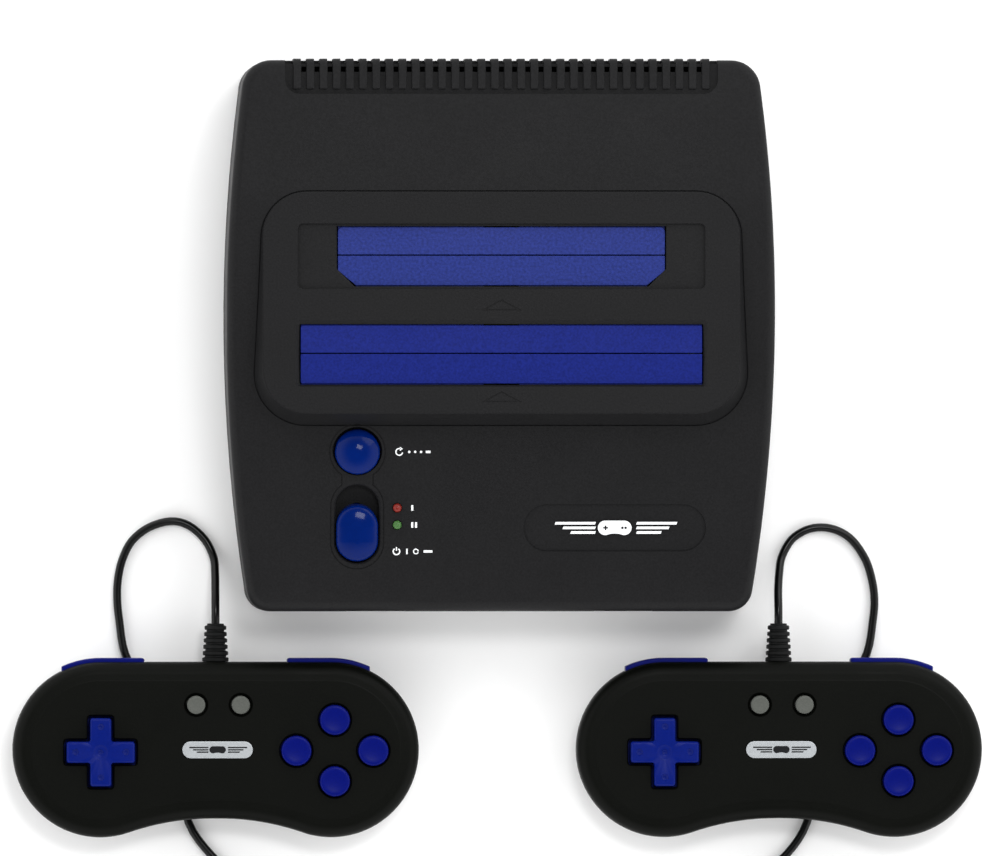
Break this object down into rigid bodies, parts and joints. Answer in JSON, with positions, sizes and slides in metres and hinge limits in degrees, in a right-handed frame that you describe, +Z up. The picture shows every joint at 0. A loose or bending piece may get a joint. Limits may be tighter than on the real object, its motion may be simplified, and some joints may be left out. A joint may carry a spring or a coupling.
{
  "type": "game console with controllers",
  "caption": "Wedge-shaped game console with twin sprung-flap cartridge slots, reset button and power slider, and wired game pads with direction pad, face, shoulder and small buttons.",
  "frame": {"origin": "on the supporting surface, under the middle of the console and the two pads taken together", "axes": "+Z up, +Y towards the console's rear edge, +X to the right as a player sits; the pads lie in front of the console at -Y"},
  "size_m": [0.3304, 0.3462, 0.056],
  "materials": {
    "black_shell": "fine sparked texture",
    "black_pad": "fine sparked texture, slight sheen",
    "blue_flap": "satin moulded",
    "blue_gloss": "polished",
    "blue_button": "satin moulded",
    "grey_button": "satin moulded",
    "badge_silver": "satin silver",
    "led_lens": "tinted lens",
    "foot_rubber": "matte",
    "contact_rubber": "matte silicone",
    "cord_rubber": "soft satin",
    "cord_jacket": "smooth, slightly glossy",
    "plug_plastic": "moulded",
    "connector_plastic": "moulded",
    "circuit_board": "solder mask",
    "chip_epoxy": "moulded epoxy",
    "switch_plastic": "moulded",
    "screw_steel": "zinc plated",
    "pin_steel": "drawn",
    "jack_plate": "nickel plated",
    "port_metal": "tin plated"
  },
  "bodies": {
    "root": {"upper_shell": "black_shell", "lower_shell": "black_shell", "console_feet": "foot_rubber", "console_screws": "screw_steel", "flap_pins": "pin_steel", "flap_springs": "pin_steel", "rear_cartridge_connector": "connector_plastic", "front_cartridge_connector": "connector_plastic", "main_board": "circuit_board", "board_chips": "chip_epoxy", "board_switches": "switch_plastic", "rear_jacks": "jack_plate", "controller_ports": "port_metal", "status_leds": "led_lens", "slot_wells": "black_shell", "jack_pocket": "black_shell"},
    "rear_slot_back_flap": {"rear_slot_back_flap": "blue_flap"},
    "rear_slot_front_flap": {"rear_slot_front_flap": "blue_flap"},
    "front_slot_back_flap": {"front_slot_back_flap": "blue_flap"},
    "front_slot_front_flap": {"front_slot_front_flap": "blue_flap"},
    "reset_button": {"reset_button": "blue_gloss"},
    "power_slider": {"power_slider": "blue_gloss"},
    "left_pad": {"left_pad_front_shell": "black_pad", "left_pad_back_shell": "black_pad", "left_pad_badge": "badge_silver", "left_pad_board": "circuit_board", "left_pad_rubber_pads": "contact_rubber", "left_pad_screws": "screw_steel", "left_pad_strain_relief": "cord_rubber", "left_pad_cord": "cord_jacket", "left_pad_coil": "cord_jacket", "left_pad_plug": "plug_plastic"},
    "left_pad_dpad_pivot": {"left_pad_dpad_pivot": "pin_steel"},
    "left_pad_dpad": {"left_pad_dpad": "blue_button"},
    "left_pad_button_top": {"left_pad_button_top": "blue_button"},
    "left_pad_button_left": {"left_pad_button_left": "blue_button"},
    "left_pad_button_right": {"left_pad_button_right": "blue_button"},
    "left_pad_button_bottom": {"left_pad_button_bottom": "blue_button"},
    "left_pad_select_button": {"left_pad_select_button": "grey_button"},
    "left_pad_start_button": {"left_pad_start_button": "grey_button"},
    "left_pad_shoulder_left": {"left_pad_shoulder_left": "blue_button"},
    "left_pad_shoulder_right": {"left_pad_shoulder_right": "blue_button"},
    "right_pad": {"right_pad_front_shell": "black_pad", "right_pad_back_shell": "black_pad", "right_pad_badge": "badge_silver", "right_pad_board": "circuit_board", "right_pad_rubber_pads": "contact_rubber", "right_pad_screws": "screw_steel", "right_pad_strain_relief": "cord_rubber", "right_pad_cord": "cord_jacket", "right_pad_coil": "cord_jacket", "right_pad_plug": "plug_plastic"},
    "right_pad_dpad_pivot": {"right_pad_dpad_pivot": "pin_steel"},
    "right_pad_dpad": {"right_pad_dpad": "blue_button"},
    "right_pad_button_top": {"right_pad_button_top": "blue_button"},
    "right_pad_button_left": {"right_pad_button_left": "blue_button"},
    "right_pad_button_right": {"right_pad_button_right": "blue_button"},
    "right_pad_button_bottom": {"right_pad_button_bottom": "blue_button"},
    "right_pad_select_button": {"right_pad_select_button": "grey_button"},
    "right_pad_start_button": {"right_pad_start_button": "grey_button"},
    "right_pad_shoulder_left": {"right_pad_shoulder_left": "blue_button"},
    "right_pad_shoulder_right": {"right_pad_shoulder_right": "blue_button"}
  },
  "joints": [
    {"name": "rear_slot_back_flap_hinge", "type": "hinge", "parent": "root", "child": "rear_slot_back_flap", "pos_m": [0, 0.0783, 0.0516], "axis": [1, 0, 0], "range_deg": [0, 85], "stiffness_Nm_per_rad": 0.004, "springref_deg": -17.19},
    {"name": "rear_slot_front_flap_hinge", "type": "hinge", "parent": "root", "child": "rear_slot_front_flap", "pos_m": [0, 0.0523, 0.0516], "axis": [-1, 0, 0], "range_deg": [0, 85], "stiffness_Nm_per_rad": 0.004, "springref_deg": -17.19},
    {"name": "front_slot_back_flap_hinge", "type": "hinge", "parent": "root", "child": "front_slot_back_flap", "pos_m": [0, 0.045, 0.0526], "axis": [1, 0, 0], "range_deg": [0, 85], "stiffness_Nm_per_rad": 0.004, "springref_deg": -17.19},
    {"name": "front_slot_front_flap_hinge", "type": "hinge", "parent": "root", "child": "front_slot_front_flap", "pos_m": [0, 0.019, 0.0526], "axis": [-1, 0, 0], "range_deg": [0, 85], "stiffness_Nm_per_rad": 0.004, "springref_deg": -17.19},
    {"name": "reset_press", "type": "slide", "parent": "root", "child": "reset_button", "axis": [0, 0, -1], "range_m": [0, 0.0015], "stiffness_N_per_m": 600, "springref_m": -0.0005},
    {"name": "power_slide", "type": "slide", "parent": "root", "child": "power_slider", "axis": [0, 0.9885, 0.1513], "range_m": [0, 0.006]},
    {"name": "left_pad_lift", "type": "slide", "parent": "root", "child": "left_pad", "axis": [0, 0, 1], "range_m": [0, 0.12]},
    {"name": "left_pad_dpad_fore_aft", "type": "hinge", "parent": "left_pad", "child": "left_pad_dpad_pivot", "pos_m": [-0.1353, -0.1032, 0.0152], "axis": [1, 0, 0], "range_deg": [-5, 5], "stiffness_Nm_per_rad": 0.2},
    {"name": "left_pad_dpad_side_to_side", "type": "hinge", "parent": "left_pad_dpad_pivot", "child": "left_pad_dpad", "pos_m": [-0.1353, -0.1032, 0.0152], "axis": [0, 1, 0], "range_deg": [-5, 5], "stiffness_Nm_per_rad": 0.2},
    {"name": "left_pad_button_top_press", "type": "slide", "parent": "left_pad", "child": "left_pad_button_top", "axis": [0, 0, -1], "range_m": [0, 0.0012], "stiffness_N_per_m": 400, "springref_m": -0.0003},
    {"name": "left_pad_button_left_press", "type": "slide", "parent": "left_pad", "child": "left_pad_button_left", "axis": [0, 0, -1], "range_m": [0, 0.0012], "stiffness_N_per_m": 400, "springref_m": -0.0003},
    {"name": "left_pad_button_right_press", "type": "slide", "parent": "left_pad", "child": "left_pad_button_right", "axis": [0, 0, -1], "range_m": [0, 0.0012], "stiffness_N_per_m": 400, "springref_m": -0.0003},
    {"name": "left_pad_button_bottom_press", "type": "slide", "parent": "left_pad", "child": "left_pad_button_bottom", "axis": [0, 0, -1], "range_m": [0, 0.0012], "stiffness_N_per_m": 400, "springref_m": -0.0003},
    {"name": "left_pad_select_button_press", "type": "slide", "parent": "left_pad", "child": "left_pad_select_button", "axis": [0, 0, -1], "range_m": [0, 0.001], "stiffness_N_per_m": 400, "springref_m": -0.0003},
    {"name": "left_pad_start_button_press", "type": "slide", "parent": "left_pad", "child": "left_pad_start_button", "axis": [0, 0, -1], "range_m": [0, 0.001], "stiffness_N_per_m": 400, "springref_m": -0.0003},
    {"name": "left_pad_shoulder_left_press", "type": "slide", "parent": "left_pad", "child": "left_pad_shoulder_left", "axis": [0, -1, 0], "range_m": [0, 0.001], "stiffness_N_per_m": 400, "springref_m": -0.0003},
    {"name": "left_pad_shoulder_right_press", "type": "slide", "parent": "left_pad", "child": "left_pad_shoulder_right", "axis": [0, -1, 0], "range_m": [0, 0.001], "stiffness_N_per_m": 400, "springref_m": -0.0003},
    {"name": "right_pad_lift", "type": "slide", "parent": "root", "child": "right_pad", "axis": [0, 0, 1], "range_m": [0, 0.12]},
    {"name": "right_pad_dpad_fore_aft", "type": "hinge", "parent": "right_pad", "child": "right_pad_dpad_pivot", "pos_m": [0.0567, -0.1032, 0.0152], "axis": [1, 0, 0], "range_deg": [-5, 5], "stiffness_Nm_per_rad": 0.2},
    {"name": "right_pad_dpad_side_to_side", "type": "hinge", "parent": "right_pad_dpad_pivot", "child": "right_pad_dpad", "pos_m": [0.0567, -0.1032, 0.0152], "axis": [0, 1, 0], "range_deg": [-5, 5], "stiffness_Nm_per_rad": 0.2},
    {"name": "right_pad_button_top_press", "type": "slide", "parent": "right_pad", "child": "right_pad_button_top", "axis": [0, 0, -1], "range_m": [0, 0.0012], "stiffness_N_per_m": 400, "springref_m": -0.0003},
    {"name": "right_pad_button_left_press", "type": "slide", "parent": "right_pad", "child": "right_pad_button_left", "axis": [0, 0, -1], "range_m": [0, 0.0012], "stiffness_N_per_m": 400, "springref_m": -0.0003},
    {"name": "right_pad_button_right_press", "type": "slide", "parent": "right_pad", "child": "right_pad_button_right", "axis": [0, 0, -1], "range_m": [0, 0.0012], "stiffness_N_per_m": 400, "springref_m": -0.0003},
    {"name": "right_pad_button_bottom_press", "type": "slide", "parent": "right_pad", "child": "right_pad_button_bottom", "axis": [0, 0, -1], "range_m": [0, 0.0012], "stiffness_N_per_m": 400, "springref_m": -0.0003},
    {"name": "right_pad_select_button_press", "type": "slide", "parent": "right_pad", "child": "right_pad_select_button", "axis": [0, 0, -1], "range_m": [0, 0.001], "stiffness_N_per_m": 400, "springref_m": -0.0003},
    {"name": "right_pad_start_button_press", "type": "slide", "parent": "right_pad", "child": "right_pad_start_button", "axis": [0, 0, -1], "range_m": [0, 0.001], "stiffness_N_per_m": 400, "springref_m": -0.0003},
    {"name": "right_pad_shoulder_left_press", "type": "slide", "parent": "right_pad", "child": "right_pad_shoulder_left", "axis": [0, -1, 0], "range_m": [0, 0.001], "stiffness_N_per_m": 400, "springref_m": -0.0003},
    {"name": "right_pad_shoulder_right_press", "type": "slide", "parent": "right_pad", "child": "right_pad_shoulder_right", "axis": [0, -1, 0], "range_m": [0, 0.001], "stiffness_N_per_m": 400, "springref_m": -0.0003}
  ]
}
